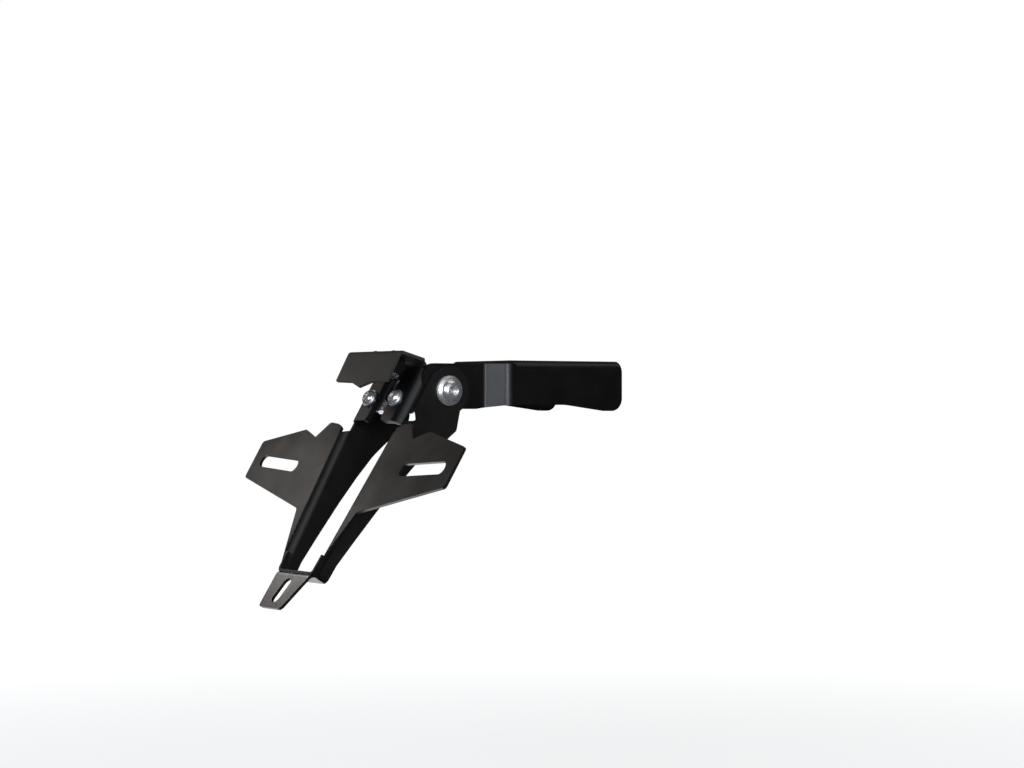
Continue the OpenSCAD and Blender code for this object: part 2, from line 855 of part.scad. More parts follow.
module led_board() {
    half = lamp_w / 2 - housing_wall - board_gap;
    rear = housing_rear_w + housing_wall + board_gap;
    front = housing_front_w - housing_wall - board_gap;
    color([0.1, 0.35, 0.18]) in_plate() {
        across(-half, half) translate([rear, board_v - board_t]) square([front - rear, board_t]);
        for (x = [-chip_pitch, 0, chip_pitch])
            across(x - chip_w / 2, x + chip_w / 2)
                translate([(rear + front - chip_w) / 2, board_v - board_t - chip_t])
                square([chip_w, chip_t + eps]);
    }
}

module lamp_screw(s) {
    color([0.12, 0.12, 0.13]) in_plate() at_lamp_screw(s)
        button_bolt(
            screw_d - screw_thread_gap, hood_t + screw_len, screw_head_r, screw_head_h, 0, 0, screw_socket
        );
}

module lamp_screw_left() { lamp_screw(-1); }
module lamp_screw_right() { lamp_screw(1); }

// Places things at one lamp bolt, with z pointing backwards out of the plate's plane.
module at_lamp_bolt(s, w) {
    in_plate() translate([s * lamp_bolt_u, w, lamp_bolt_v]) rotate([90, 0, 0]) children();
}

module lamp_bolt(s) {
    grip = washer_t + tab_t + hood_t + washer_t;
    color([0.8, 0.82, 0.84]) at_lamp_bolt(s, tab_rear - washer_t)
        button_bolt(lamp_bolt_d, grip + lamp_bolt_past, lamp_bolt_d, lamp_head_h, 0, 0, lamp_socket);
}

module lamp_nut(s) {
    color([0.75, 0.76, 0.78]) at_lamp_bolt(s, hood_flange_front + washer_t) mirror([0, 0, 1])
        lock_nut(lamp_bolt_d, lamp_nut_flats, lamp_nut_h, lamp_nut_flange_r);
}

module lamp_bolt_left() { lamp_bolt(-1); }
module lamp_bolt_right() { lamp_bolt(1); }
module lamp_nut_left() { lamp_nut(-1); }
module lamp_nut_right() { lamp_nut(1); }

module lamp_head_washers() {
    color([0.78, 0.79, 0.8]) for (s = [-1, 1])
        at_lamp_bolt(s, tab_rear) ring(lamp_washer_r, lamp_bolt_d / 2 + washer_gap, washer_t);
}

module lamp_tab_washers() {
    color([0.78, 0.79, 0.8]) for (s = [-1, 1])
        at_lamp_bolt(s, hood_flange_front + washer_t)
            ring(lamp_washer_r, lamp_bolt_d / 2 + washer_gap, washer_t);
}

main_bracket();
plate_hanger();
pivot_bolt_left();
pivot_bolt_right();
friction_washer_left();
friction_washer_right();
outer_washer_left();
outer_washer_right();
pivot_washer_left();
pivot_washer_right();
pivot_nut_left();
pivot_nut_right();
lamp_hood();
lamp_housing();
lamp_lens();
led_board();
lamp_screw_left();
lamp_screw_right();
lamp_bolt_left();
lamp_bolt_right();
lamp_head_washers();
lamp_tab_washers();
lamp_nut_left();
lamp_nut_right();
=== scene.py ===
# %% [markdown]
# A tail tidy is a folded steel bracket that holds a number plate and its lamp. Its sheets, bolts and lamp
# were first built as a CAD model in metres. This script dresses that model: it eases the sheets' edges,
# replaces the plain bolts with detailed ones, and gives every surface a finish. We start by loading the
# model and keeping the box that it fills.

# %% Load the frame
import json
import math
import bmesh
import bpy
from mathutils import Matrix, Vector


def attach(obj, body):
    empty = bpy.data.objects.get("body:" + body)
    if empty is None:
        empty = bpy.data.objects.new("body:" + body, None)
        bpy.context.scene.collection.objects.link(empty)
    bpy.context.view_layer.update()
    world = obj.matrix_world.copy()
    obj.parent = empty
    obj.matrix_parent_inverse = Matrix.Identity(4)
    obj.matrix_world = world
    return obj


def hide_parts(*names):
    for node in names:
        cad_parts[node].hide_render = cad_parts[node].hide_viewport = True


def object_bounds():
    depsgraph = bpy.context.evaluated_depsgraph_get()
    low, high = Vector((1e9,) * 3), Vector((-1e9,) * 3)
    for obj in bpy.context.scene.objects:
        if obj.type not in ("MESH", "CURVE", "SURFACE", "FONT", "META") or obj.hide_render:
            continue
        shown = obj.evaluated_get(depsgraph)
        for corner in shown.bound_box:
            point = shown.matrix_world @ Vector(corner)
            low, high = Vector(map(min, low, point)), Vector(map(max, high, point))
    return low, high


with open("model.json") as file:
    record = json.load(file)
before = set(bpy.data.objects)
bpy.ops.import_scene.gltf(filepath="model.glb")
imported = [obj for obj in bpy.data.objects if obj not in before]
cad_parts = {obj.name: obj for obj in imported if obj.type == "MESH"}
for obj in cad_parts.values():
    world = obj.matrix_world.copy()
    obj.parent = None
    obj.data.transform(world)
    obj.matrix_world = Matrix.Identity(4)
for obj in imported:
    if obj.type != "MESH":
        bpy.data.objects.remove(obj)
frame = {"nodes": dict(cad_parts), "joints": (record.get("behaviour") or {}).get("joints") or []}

CAD_BOX = [list(corner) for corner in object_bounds()]
MM = 0.001
print("CAD box in mm:", [[round(v / MM, 1) for v in corner] for corner in CAD_BOX])

# %% [markdown]
# Everything at the rear sits on one axis, the pivot, where the plate hanger is bolted between the arms.
# The hanger and the lamp lean back by the same angle, so we work in a frame of their own: x across, y
# forward through the plate and z up along it. The pivot lies a little in front of that frame's origin.

# %% The pivot and the plate's frame
hinge = frame["joints"][0]
PIVOT = Vector(hinge["pos_m"])
LEAN = math.radians(31)
AT_PIVOT = Matrix.Translation(PIVOT)
PIVOT_IN_PLATE = Vector((0, 3.5, 1.8)) * MM
IN_PLATE = AT_PIVOT @ Matrix.Rotation(-LEAN, 4, "X") @ Matrix.Translation(-PIVOT_IN_PLATE)
OUT_OF_PLATE = IN_PLATE.inverted()
print("pivot at", [round(v / MM, 1) for v in PIVOT], "mm; lean", round(math.degrees(LEAN)), "degrees")

# %% [markdown]
# The picture was taken from the right and behind, at about the height of the pivot, through a long lens.
# Such a lens keeps the far wing almost as large as the near one. The angle and distance were found by
# fitting the corners of the wings, the slots, the tab and the pivot bolt.

# %% Camera
AZIMUTH = math.radians(55.236)
ELEVATION = math.radians(-0.487)
SENSOR_WIDTH = 36.0
IMAGE_WIDTH = 1024
FOCAL_PIXELS = 2400
VIEW_DATUM = Vector((0, -72, -15)) * MM
CAMERA_OFFSET = Vector((47.749, 3.134, 1195.895)) * MM

right = Vector((math.cos(AZIMUTH), math.sin(AZIMUTH), 0))
back = Vector((
    math.sin(AZIMUTH) * math.cos(ELEVATION),
    -math.cos(AZIMUTH) * math.cos(ELEVATION),
    math.sin(ELEVATION),
))
up = back.cross(right)
camera_turn = Matrix((right, up, back)).transposed()

camera = bpy.data.objects.new("camera", bpy.data.cameras.new("camera"))
camera.data.sensor_width = SENSOR_WIDTH
camera.data.lens = FOCAL_PIXELS * SENSOR_WIDTH / IMAGE_WIDTH
camera.location = VIEW_DATUM + camera_turn @ CAMERA_OFFSET
camera.rotation_euler = camera_turn.to_euler()
bpy.context.scene.collection.objects.link(camera)
bpy.context.scene.camera = camera
print("camera at", [round(v, 3) for v in camera.location], "lens", round(camera.data.lens, 1), "mm")

# %% [markdown]
# Black powder coat shows almost nothing but what it reflects, so the lights decide how the folds read.
# The plate's faces mirror the upper left, the folds and the jog mirror the space behind the camera, the
# bolts mirror the right, and the arms mirror a dark side ahead. A soft box stands in each of the first
# three places, one with a grid picks out the tab, and one lights the top.

# %% Lights
MIDDLE = Vector((0, -0.1, -0.045))
TAB = Vector((0, -0.148, -0.11))
OPEN = 180
GRID = 26


def soft_box(name, place, aim, size, watts, colour, spread):
    """Adds one square area light that faces a point and isn't itself seen; a grid narrows its spread."""
    lamp = bpy.data.lights.new(name, "AREA")
    lamp.shape = "SQUARE"
    lamp.size = size
    lamp.energy = watts
    lamp.color = colour
    lamp.spread = math.radians(spread)
    box = bpy.data.objects.new(name, lamp)
    box.location = place
    box.visible_camera = False
    box.rotation_euler = (Vector(place) - Vector(aim)).to_track_quat("Z", "Y").to_euler()
    bpy.context.scene.collection.objects.link(box)


for name, place, aim, size, watts, colour, spread in (
    ("plate_box", (-0.273, -0.176, 0.075), MIDDLE, 0.11, 0.026, (1.0, 0.91, 0.83), OPEN),
    ("tab_box", (-0.168, -0.16, 0.004), TAB, 0.06, 0.0021, (1.0, 0.95, 0.93), GRID),
    ("fold_box", (1.03, -1.7, 0.47), MIDDLE, 1.0, 14.5, (0.86, 0.93, 1.0), OPEN),
    ("side_box", (1.5, -0.58, 0.14), MIDDLE, 0.55, 6.5, (0.88, 0.94, 1.0), OPEN),
    ("top_box", (0.26, 0.42, 1.67), MIDDLE, 1.4, 4, (1.0, 1.0, 1.0), OPEN),
):
    soft_box(name, place, aim, size, watts, colour, spread)

# %% [markdown]
# The world is seen in three ways. The camera, and rays through the clear lens, see plain white. Diffuse
# surfaces get an even, weak fill. Mirrored, it is dark but for a soft glow on the left and a brighter one
# on the right, which the bolts pick up. A white surround would turn the black arms grey.

# %% World
ROOM_FILL = 0.2
ROOM_TINT = (0.97, 0.98, 1.0, 1)
WHITE = (1, 1, 1, 1)
# Each glow has its direction, the cosines between which it grows, and its full strength.
GLOWS = (
    ((-0.75, -0.35, 0.45), -0.35, 0.9, 0.05),
    ((0.93, -0.3, 0.2), 0.66, 0.95, 0.75),
)
GLOW_FLOOR = 0.009


def node_in(tree, kind, inputs=None, **settings):
    """Adds a node, sets its properties, and sets or links its inputs."""
    node = tree.nodes.new(kind)
    for key, value in settings.items():
        setattr(node, key, value)
    for key, value in (inputs or {}).items():
        if isinstance(value, bpy.types.NodeSocket):
            tree.links.new(value, node.inputs[key])
        else:
            node.inputs[key].default_value = value
    return node


world = bpy.data.worlds.new("studio")
world.use_nodes = True
tree = world.node_tree
tree.nodes.clear()
direction = node_in(tree, "ShaderNodeTexCoord").outputs["Generated"]
shade = None
for toward, start, end, strength in GLOWS:
    dot = node_in(tree, "ShaderNodeVectorMath", {
        0: direction, 1: Vector(toward).normalized(),
    }, operation="DOT_PRODUCT")
    side = node_in(tree, "ShaderNodeMapRange", {
        "Value": dot.outputs["Value"], "From Min": start, "From Max": end,
        "To Min": GLOW_FLOOR, "To Max": strength,
    }, interpolation_type="SMOOTHSTEP")
    shade = node_in(tree, "ShaderNodeMath", {0: shade.outputs[0] if shade else 0.0, 1: side.outputs[0]})
path = node_in(tree, "ShaderNodeLightPath")
mirrored = node_in(tree, "ShaderNodeBackground", {"Color": ROOM_TINT, "Strength": shade.outputs[0]})
filled = node_in(tree, "ShaderNodeBackground", {"Color": ROOM_TINT, "Strength": ROOM_FILL})
white = node_in(tree, "ShaderNodeBackground", {"Color": WHITE, "Strength": 1.0})
room = node_in(tree, "ShaderNodeMixShader", {
    0: path.outputs["Is Glossy Ray"], 1: filled.outputs[0], 2: mirrored.outputs[0],
})
direct = node_in(tree, "ShaderNodeMath", {
    0: path.outputs["Is Camera Ray"], 1: path.outputs["Is Transmission Ray"],
}, operation="MAXIMUM")
seen = node_in(tree, "ShaderNodeMixShader", {0: direct.outputs[0], 1: room.outputs[0], 2: white.outputs[0]})
node_in(tree, "ShaderNodeOutputWorld", {"Surface": seen.outputs[0]})
bpy.context.scene.world = world
print("world glows:", len(GLOWS))

# %% [markdown]
# The floor is a plain pale sheet, clear when it is seen from below. To the camera it is lifted a little
# more the further it lies, so that it looks even and still takes the shadow. Mirrored, it is dark but for
# a pale card on the left, whose reflection brightens the underside of the shelf.

# %% Floor
FLOOR_GAP = 0.13
FLOOR_HALF = 6.0
FLOOR_PALE = (0.85, 0.85, 0.85, 1)
LIFT_START, LIFT_END = 0.3, 1.3
LIFT_NEAR, LIFT_FAR = 0.56, 0.84
CARD_CORE, CARD_RIM = 0.06, 0.2
CARD_LIGHT, CARD_DARK = 2.6, 0.02
floor_z = CAD_BOX[0][2] - FLOOR_GAP
CARD_PLACE = (-0.2, -0.06, floor_z)

floor_mesh = bpy.data.meshes.new("floor")
bm = bmesh.new()
bmesh.ops.create_grid(bm, x_segments=1, y_segments=1, size=FLOOR_HALF)
bmesh.ops.translate(bm, verts=bm.verts, vec=(0, 0, floor_z))
bm.to_mesh(floor_mesh)
bm.free()
floor = bpy.data.objects.new("floor", floor_mesh)
bpy.context.scene.collection.objects.link(floor)

floor_paint = bpy.data.materials.new("floor_paint")
floor_paint.use_nodes = True
tree = floor_paint.node_tree
tree.nodes.clear()
pale = node_in(tree, "ShaderNodeBsdfDiffuse", {"Color": FLOOR_PALE})
on_floor = node_in(tree, "ShaderNodeTexCoord").outputs["Object"]
away = node_in(tree, "ShaderNodeVectorMath", {0: on_floor}, operation="LENGTH").outputs["Value"]
even = node_in(tree, "ShaderNodeMapRange", {
    "Value": away, "From Min": LIFT_START, "From Max": LIFT_END, "To Min": LIFT_NEAR, "To Max": LIFT_FAR,
}, interpolation_type="SMOOTHSTEP")
lift = node_in(tree, "ShaderNodeEmission", {"Color": WHITE, "Strength": even.outputs[0]})
lit = node_in(tree, "ShaderNodeAddShader", {0: pale.outputs[0], 1: lift.outputs[0]})
from_card = node_in(tree, "ShaderNodeVectorMath", {0: on_floor, 1: CARD_PLACE}, operation="DISTANCE")
fade = node_in(tree, "ShaderNodeMapRange", {
    "Value": from_card.outputs["Value"], "From Min": CARD_CORE, "From Max": CARD_RIM,
    "To Min": CARD_LIGHT, "To Max": CARD_DARK,
})
mirrored = node_in(tree, "ShaderNodeEmission", {"Color": WHITE, "Strength": fade.outputs[0]})
path = node_in(tree, "ShaderNodeLightPath")
unseen = node_in(tree, "ShaderNodeMixShader", {
    0: path.outputs["Is Glossy Ray"], 1: pale.outputs[0], 2: mirrored.outputs[0],
})
seen = node_in(tree, "ShaderNodeMixShader", {
    0: path.outputs["Is Camera Ray"], 1: unseen.outputs[0], 2: lit.outputs[0],
})
from_above = node_in(tree, "ShaderNodeMixShader", {
    0: node_in(tree, "ShaderNodeNewGeometry").outputs["Backfacing"],
    1: seen.outputs[0], 2: node_in(tree, "ShaderNodeBsdfTransparent").outputs[0],
})
node_in(tree, "ShaderNodeOutputMaterial", {"Surface": from_above.outputs[0]})
floor_mesh.materials.append(floor_paint)

bpy.context.scene.view_settings.view_transform = "Standard"
print("floor", round(floor_z, 3), "m")

# %% [markdown]
# Powder coat is sprayed on as dry resin and melts into a skin that is slightly rippled, like the peel of an
# orange. It is thinner on the edges, where handling rubs it smoother. The bump is a fine noise, the
# roughness
# drifts slowly over the sheet, and an attribute that marks the eased edges paints them paler and smoother:
# partly worn coat, partly a painted highlight along the edges.

# %% Powder coat
DUST = (0.12, 0.115, 0.105, 1)


def new_material(name):
    """Returns a material's empty node tree, its shader and its object coordinates."""
    made = bpy.data.materials.new(name)
    made.use_nodes = True
    tree = made.node_tree
    tree.nodes.clear()
    shader = node_in(tree, "ShaderNodeBsdfPrincipled")
    node_in(tree, "ShaderNodeOutputMaterial", {"Surface": shader.outputs[0]})
    return made, tree, shader, node_in(tree, "ShaderNodeTexCoord").outputs["Object"]


def noise(tree, where, scale, detail=2.0, roughness=0.5):
    """One noise value between 0 and 1; scale counts its features in a metre."""
    made = node_in(tree, "ShaderNodeTexNoise", {
        "Vector": where, "Scale": scale, "Detail": detail, "Roughness": roughness,
    })
    return made.outputs[0]


def ranged(tree, value, low, high, to_low, to_high):
    """Stretches a value from one range to another, and stays inside it."""
    made = node_in(tree, "ShaderNodeMapRange", {
        "Value": value, "From Min": low, "From Max": high, "To Min": to_low, "To Max": to_high,
    })
    return made.outputs[0]


def blended(tree, factor, first, second):
    """Mixes two colours."""
    made = node_in(tree, "ShaderNodeMix", data_type="RGBA")
    for key, value in ((0, factor), (6, first), (7, second)):
        if isinstance(value, bpy.types.NodeSocket):
            tree.links.new(value, made.inputs[key])
        else:
            made.inputs[key].default_value = value
    return made.outputs[2]


def reckoned(tree, first, second, operation="MULTIPLY"):
    """Multiplies two values, or joins them by another operation."""
    made = node_in(tree, "ShaderNodeMath", {0: first, 1: second}, operation=operation)
    return made.outputs[0]


def bumped(tree, shader, height, distance, strength):
    """Drives the shader's normal by a height in metres."""
    made = node_in(tree, "ShaderNodeBump", {"Height": height, "Distance": distance, "Strength": strength})
    tree.links.new(made.outputs[0], shader.inputs["Normal"])


def powder_coat(name, dark, pale, rough_low, rough_high):
    """Satin black coat over steel."""
    made, tree, shader, where = new_material(name)
    mottle = noise(tree, where, 55, 3)
    fine = noise(tree, where, 1500, 2)
    specks = ranged(tree, noise(tree, where, 4200, 1), 0.66, 0.72, 0, 1)
    dust = ranged(tree, noise(tree, where, 140, 5, 0.7), 0.5, 0.75, 0, 0.35)
    # Eased edges are painted paler and smoother: partly worn coat, partly a painted highlight along the
    # edges.
    rub_and_edge_highlight = node_in(tree, "ShaderNodeAttribute", attribute_name="rub_and_edge_highlight").outputs["Fac"]
    worn_and_lit_edge = reckoned(tree, rub_and_edge_highlight, ranged(tree, noise(tree, where, 420, 4, 0.65), 0.42, 0.62, 0.15, 1))
    coat = blended(tree, mottle, (*dark, 1), (*[c * 1.35 for c in dark], 1))
    dusty = blended(tree, reckoned(tree, dust, specks), coat, DUST)
    shown = blended(tree, reckoned(tree, worn_and_lit_edge, 0.75), dusty, (*pale, 1))
    tree.links.new(shown, shader.inputs["Base Color"])
    rough = ranged(tree, mottle, 0.3, 0.7, rough_low, rough_high)
    rough = reckoned(tree, rough, reckoned(tree, worn_and_lit_edge, 0.06), "SUBTRACT")
    rough = reckoned(tree, rough, reckoned(tree, dust, 0.15), "ADD")
    tree.links.new(rough, shader.inputs["Roughness"])
    bumped(tree, shader, fine, 0.00002, 0.55)
    return made


# The three parts wear one black powder coat. Its three tones are painted light and shade: the hood's copy is
# lighter and the bracket's darker, set to how dark each part reads under the lights.
bracket_coat = powder_coat("bracket_coat", (0.0032, 0.0031, 0.0034), (0.05, 0.052, 0.055), 0.27, 0.36)
hanger_coat = powder_coat("hanger_coat", (0.0055, 0.005, 0.005), (0.06, 0.061, 0.063), 0.33, 0.43)
hood_coat = powder_coat("hood_coat", (0.03, 0.028, 0.026), (0.06, 0.06, 0.062), 0.36, 0.46)
print("coats made:", [m.name for m in (bracket_coat, hanger_coat, hood_coat)])

# %% [markdown]
# The bolts, nuts and washers are steel with a thin bright layer of zinc, passivated in a clear bath that
# leaves a faint tint of blue and rose. The finish is metallic, drifts in tint and roughness over a few
# millimetres, and carries a little grime and a fine grain. The plastics have only drift and grain.

# %% Zinc, nylon and the lamp's plastics
ROSE = (0.9, 0.8, 0.78, 1)
BLUE = (0.58, 0.74, 0.92, 1)
GRIME = (0.2, 0.19, 0.18, 1)


def zinc_finish(name, base, rough_low, rough_high):
    """Bright zinc plating with a faint tint."""
    made, tree, shader, where = new_material(name)
    drift = noise(tree, where, 190, 2)
    tint = noise(tree, where, 320, 1)
    rose = blended(tree, ranged(tree, tint, 0.35, 0.65, 0, 0.55), (*base, 1), ROSE)
    blue = blended(tree, ranged(tree, drift, 0.52, 0.72, 0, 0.5), rose, BLUE)
    grime = ranged(tree, noise(tree, where, 700, 4, 0.7), 0.62, 0.8, 0, 0.35)
    shown = blended(tree, grime, blue, GRIME)
    tree.links.new(shown, shader.inputs["Base Color"])
    shader.inputs["Metallic"].default_value = 0.85
    rough = ranged(tree, drift, 0.3, 0.7, rough_low, rough_high)
    rough = reckoned(tree, rough, reckoned(tree, grime, 0.3), "ADD")
    tree.links.new(rough, shader.inputs["Roughness"])
    bumped(tree, shader, noise(tree, where, 2600, 3), 0.00001, 0.5)
    return made


def moulded(name, base, rough_low, rough_high, grain, depth, **sockets):
    """A moulded plastic with a fine grain."""
    made, tree, shader, where = new_material(name)
    drift = noise(tree, where, 120, 3)
    paler = [c * 1.25 for c in base]
    tree.links.new(blended(tree, drift, (*base, 1), (*paler, 1)), shader.inputs["Base Color"])
    tree.links.new(ranged(tree, drift, 0.3, 0.7, rough_low, rough_high), shader.inputs["Roughness"])
    bumped(tree, shader, noise(tree, where, grain, 2), depth, 0.5)
    for key, value in sockets.items():
        shader.inputs[key.replace("_", " ")].default_value = value
    return made


zinc = zinc_finish("zinc", (0.95, 0.96, 0.98), 0.2, 0.32)
dull_zinc = zinc_finish("dull_zinc", (0.3, 0.31, 0.32), 0.4, 0.55)
nylon = moulded("nylon", (0.55, 0.54, 0.49), 0.45, 0.6, 1400, 0.00001, Subsurface_Weight=0.2)
black_screw = moulded("black_screw", (0.014, 0.014, 0.015), 0.3, 0.42, 2400, 0.00001)
lamp_plastic = moulded("lamp_plastic", (0.01, 0.01, 0.011), 0.12, 0.22, 1800, 0.000006)
clear_lens = moulded(
    "clear_lens", (0.78, 0.8, 0.8), 0.04, 0.09, 900, 0.000003, Transmission_Weight=0.92, IOR=1.49)
solder_mask = moulded("solder_mask", (0.02, 0.12, 0.05), 0.25, 0.36, 2600, 0.000008)
led_body = moulded("led_body", (0.75, 0.74, 0.7), 0.3, 0.4, 2600, 0.000005)
led_phosphor = moulded("led_phosphor", (0.7, 0.5, 0.06), 0.2, 0.3, 2600, 0.000005)
print("finishes:", len(bpy.data.materials))

# %% [markdown]
# The bracket, the hanger and the hood are cut from sheet and folded in a press brake. Their edges are not
# sharp: the cutter leaves a burr that is tumbled off, and the coat rounds what is left. Each sheet is a copy
# of its CAD solid with the edges eased by 0.2 to 0.36 of a millimetre. The eased faces carry the attribute
# that the coat reads to paint them paler: partly wear, partly a painted edge highlight. The hanger's
# flanges also get their swept free edge here.

# %% Eased sheets
def finish_piece(piece, body, node):
    """Makes a piece ride on a body, and lets it stand for its CAD node."""
    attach(piece, body)
    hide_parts(node)


def weighted_normals(piece):
    """Keeps large flat faces flat in their shading and lets the small eased ones turn."""
    shading = piece.modifiers.new("weighted_normals", "WEIGHTED_NORMAL")
    shading.keep_sharp = True
    shading.weight = 100


def from_bmesh(name, bm, material, sharp=math.radians(50)):
    """Turns mesh data into an object with one material, smooth except at sharp edges."""
    mesh = bpy.data.meshes.new(name)
    bmesh.ops.recalc_face_normals(bm, faces=bm.faces)
    for face in bm.faces:
        face.smooth = True
    for edge in bm.edges:
        edge.smooth = len(edge.link_faces) == 2 and edge.calc_face_angle(0) < sharp
    bm.to_mesh(mesh)
    bm.free()
    mesh.materials.append(material)
    piece = bpy.data.objects.new(name, mesh)
    bpy.context.scene.collection.objects.link(piece)
    weighted_normals(piece)
    return piece


EASE = 0.25 * MM
HOOD_EASE = 0.2 * MM
HANGER_EASE = 0.36 * MM
MERGE = 0.04 * MM
FOLD = math.radians(24)
FLAT = math.radians(0.4)
# Heights and depths in the plate's frame, in millimetres, down the free edge of a flange.
FREE_EDGE = (
    (-18.9, 15.2), (-23.3, 10.9), (-27, 9.5), (-31.4, 8), (-35.8, 6.6), (-41, 5.4), (-49, 3.5), (-66, 0.3),
)


def trim_free_edge(bm):
    """Draws the free edge of both flanges in to its swept curve."""
    along = IN_PLATE.to_3x3() @ Vector((0, 0, 1))
    for height, _ in FREE_EDGE:
        point = IN_PLATE @ Vector((0, 0, height * MM))
        everything = bm.verts[:] + bm.edges[:] + bm.faces[:]
        bmesh.ops.bisect_plane(bm, geom=everything, plane_co=point, plane_no=along)
    moved = 0
    for vert in bm.verts:
        place = OUT_OF_PLATE @ vert.co
        for (top, w_top), (low, w_low) in zip(FREE_EDGE, FREE_EDGE[1:]):
            share = (place.z / MM - top) / (low - top)
            limit = (w_top + (w_low - w_top) * share) * MM
            if -1e-4 <= share <= 1.0001 and place.y > limit:
                vert.co = IN_PLATE @ Vector((place.x, limit, place.z))
                moved += 1
                break
    print("free edge points drawn in:", moved)


def eased(node, name, material, width, shape=None):
    """A copy of a CAD solid whose sharp edges are rounded; the rounded faces carry the mark for a paler
    edge, partly wear and partly a painted highlight.
    """
    bm = bmesh.new()
    bm.from_mesh(frame["nodes"][node].data)
    bmesh.ops.remove_doubles(bm, verts=bm.verts, dist=MERGE)
    if shape:
        shape(bm)
    bmesh.ops.dissolve_limit(bm, angle_limit=FLAT, verts=bm.verts, edges=bm.edges)
    sharp = [e for e in bm.edges if len(e.link_faces) == 2 and e.calc_face_angle(0) > FOLD]
    made = bmesh.ops.bevel(
        bm, geom=sharp, offset=width, segments=2, profile=0.5, affect="EDGES", clamp_overlap=True,
        material=-1,
    )
    # Marks the rounded faces, which the coat paints paler: partly wear, partly a painted edge highlight.
    rub_and_edge_highlight = bm.loops.layers.float.new("rub_and_edge_highlight")
    for face in made["faces"]:
        for loop in face.loops:
            loop[rub_and_edge_highlight] = 1.0
    piece = from_bmesh(name, bm, material)
    print(name, "faces", len(piece.data.polygons), "eased edges", len(sharp))
    return piece


piece = eased("main_bracket", "bracket_sheet", bracket_coat, EASE)
finish_piece(piece, "bracket", "main_bracket")
piece = eased("plate_hanger", "hanger_sheet", hanger_coat, HANGER_EASE, shape=trim_free_edge)
finish_piece(piece, "hanger", "plate_hanger")
piece = eased("lamp_hood", "hood_sheet", hood_coat, HOOD_EASE)
finish_piece(piece, "bracket", "lamp_hood")

# %% [markdown]
# Bolts and nuts are turned or cold-headed, so they are round about one axis, apart from the hexagon of
# a socket or a nut. We build them as a stack of rings: each ring is a circle or a hexagon at one height,
# and the skin is drawn from ring to ring. A thread is the same stack with its radius running up a helix.

# %% Rings, threads and turned parts
RING_STEPS = 72
TURNED_SHARP = math.radians(32)


def round_ring(radius, height):
    """A circle at one height."""
    return [(radius, height)] * RING_STEPS


def hex_ring(flats, height, soften=0.0):
    """A hexagon, given by its width over the flats; soften draws its corners in."""
    corner_r = flats / 2 / math.cos(math.pi / 6)
    steps = []
    for i in range(RING_STEPS):
        turn = (i / RING_STEPS * 6 + 0.5) % 1 - 0.5
        radius = flats / 2 / math.cos(turn * math.pi / 3)
        steps.append((min(radius, corner_r - soften), height))
    return steps


def thread_rings(radius, depth, pitch, start, end):
    """Rings whose radius follows a 60 degree thread."""
    per_turn = 6
    count = max(2, round(abs(end - start) / pitch * per_turn))
    rings = []
    for k in range(count + 1):
        height = start + (end - start) * k / count
        ring = []
        for i in range(RING_STEPS):
            wave = abs(((height / pitch - i / RING_STEPS) % 1) * 2 - 1)
            fade = min(1, k / per_turn, (count - k) / per_turn)
            ring.append((radius - depth * wave * fade, height))
        rings.append(ring)
    return rings


def stacked(name, rings, place, material, closed=False):
    """Draws the skin over a stack of rings, caps or closes it, and puts it in its place."""
    bm = bmesh.new()
    levels = []
    for ring in rings:
        level = []
        for i, (radius, height) in enumerate(ring):
            turn = 2 * math.pi * i / RING_STEPS
            level.append(bm.verts.new((radius * math.cos(turn), radius * math.sin(turn), height)))
        levels.append(level)
    pairs = list(zip(levels, levels[1:] + levels[:1])) if closed else list(zip(levels, levels[1:]))
    for low, high in pairs:
        for i in range(RING_STEPS):
            j = (i + 1) % RING_STEPS
            bm.faces.new((low[i], low[j], high[j], high[i]))
    if not closed:
        bm.faces.new(levels[0][::-1])
        bm.faces.new(levels[-1])
    bmesh.ops.transform(bm, matrix=place, verts=bm.verts)
    return from_bmesh(name, bm, material, sharp=TURNED_SHARP)


def washer_rings(outer, inner, thick, ease):
    """A flat ring with eased rims."""
    return [
        round_ring(outer - ease, 0),
        round_ring(outer, ease),
        round_ring(outer, thick - ease),
        round_ring(outer - ease, thick),
        round_ring(inner + ease, thick),
        round_ring(inner, thick - ease),
        round_ring(inner, ease),
        round_ring(inner + ease, 0),
    ]


def bolt_rings(size, shank, head_r, head_h, flange_r, flange_h, socket):
    """A button head with a hexagon socket over a threaded shank; the seat is at height 0."""
    radius = size / 2
    depth = 0.06 * size
    pitch = 0.16 * size
    rings = [round_ring(radius - depth * 1.2, -shank), round_ring(radius, -shank + depth * 1.2)]
    rings += thread_rings(radius, depth, pitch, -shank + depth * 1.3, -2 * pitch)
    rings += [round_ring(radius, -pitch), round_ring(radius, 0)]
    if flange_h > 0:
        lip = flange_h * 0.3
        rings += [round_ring(flange_r - lip * 0.4, 0), round_ring(flange_r, lip * 0.5)]
        rings += [round_ring(flange_r, flange_h * 0.5), round_ring(flange_r - lip, flange_h * 0.72)]
        rings += [round_ring(head_r + 0.3 * MM, flange_h * 1.3)]
        rings += [round_ring(head_r + 0.05 * MM, flange_h * 1.38)]
    else:
        rings += [round_ring(head_r - 0.1 * MM, 0)]
    for k in range(9):
        a = math.radians(8 + 6.5 * k)
        r = head_r * (math.cos(a) + 0.12 * (1 - math.cos(a)))
        rings.append(round_ring(r, flange_h + head_h * math.sin(a) / math.sin(math.radians(60))))
    top = flange_h + head_h
    mouth = socket / 2 / math.cos(math.pi / 6)
    rings += [round_ring(mouth + 0.25 * MM, top), round_ring(mouth + 0.05 * MM, top - 0.12 * MM)]
    rings += [hex_ring(socket, top - 0.3 * MM), hex_ring(socket, top - socket * 0.42)]
    rings += [round_ring(socket * 0.42, top - socket * 0.44), round_ring(socket * 0.05, top - socket * 0.6)]
    return rings


